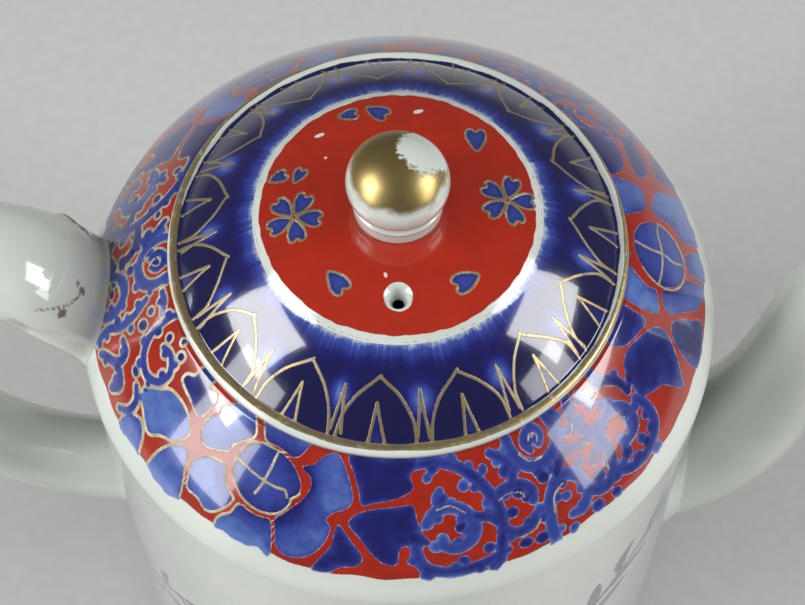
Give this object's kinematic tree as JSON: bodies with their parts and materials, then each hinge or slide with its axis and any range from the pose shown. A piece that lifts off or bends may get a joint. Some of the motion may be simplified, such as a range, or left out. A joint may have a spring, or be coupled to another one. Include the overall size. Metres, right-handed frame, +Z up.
{
  "type": "teapot",
  "caption": "Cylindrical porcelain teapot with a sloping shoulder, a lift-off domed lid with a ball knob, an upswept spout, a thick loop handle and a foot ring, painted in blue, red and gold.",
  "frame": {"origin": "centre of the foot ring's lower edge, on the pot's vertical axis", "axes": "+Z up along the pot's axis, +X towards the spout, -X towards the handle, -Y towards the lid's vent hole"},
  "size_m": [0.1863, 0.11, 0.1526],
  "materials": {
    "porcelain": "gloss",
    "painted_porcelain": "gloss",
    "red_porcelain": "gloss",
    "gilt_porcelain": "satin",
    "biscuit": "matte"
  },
  "bodies": {
    "pot": {"body_wall": "porcelain", "base": "porcelain", "foot_ring": "biscuit", "shoulder": "painted_porcelain", "spout": "porcelain", "handle": "porcelain", "upper_terminal": "porcelain", "lower_terminal": "porcelain"},
    "lid": {"lid": "red_porcelain", "lid_flange": "porcelain", "knob_collar": "porcelain", "knob": "gilt_porcelain"}
  },
  "joints": [
    {"name": "lid_lift", "type": "slide", "parent": "pot", "child": "lid", "axis": [0, 0, 1], "range_m": [0, 0.06]}
  ]
}
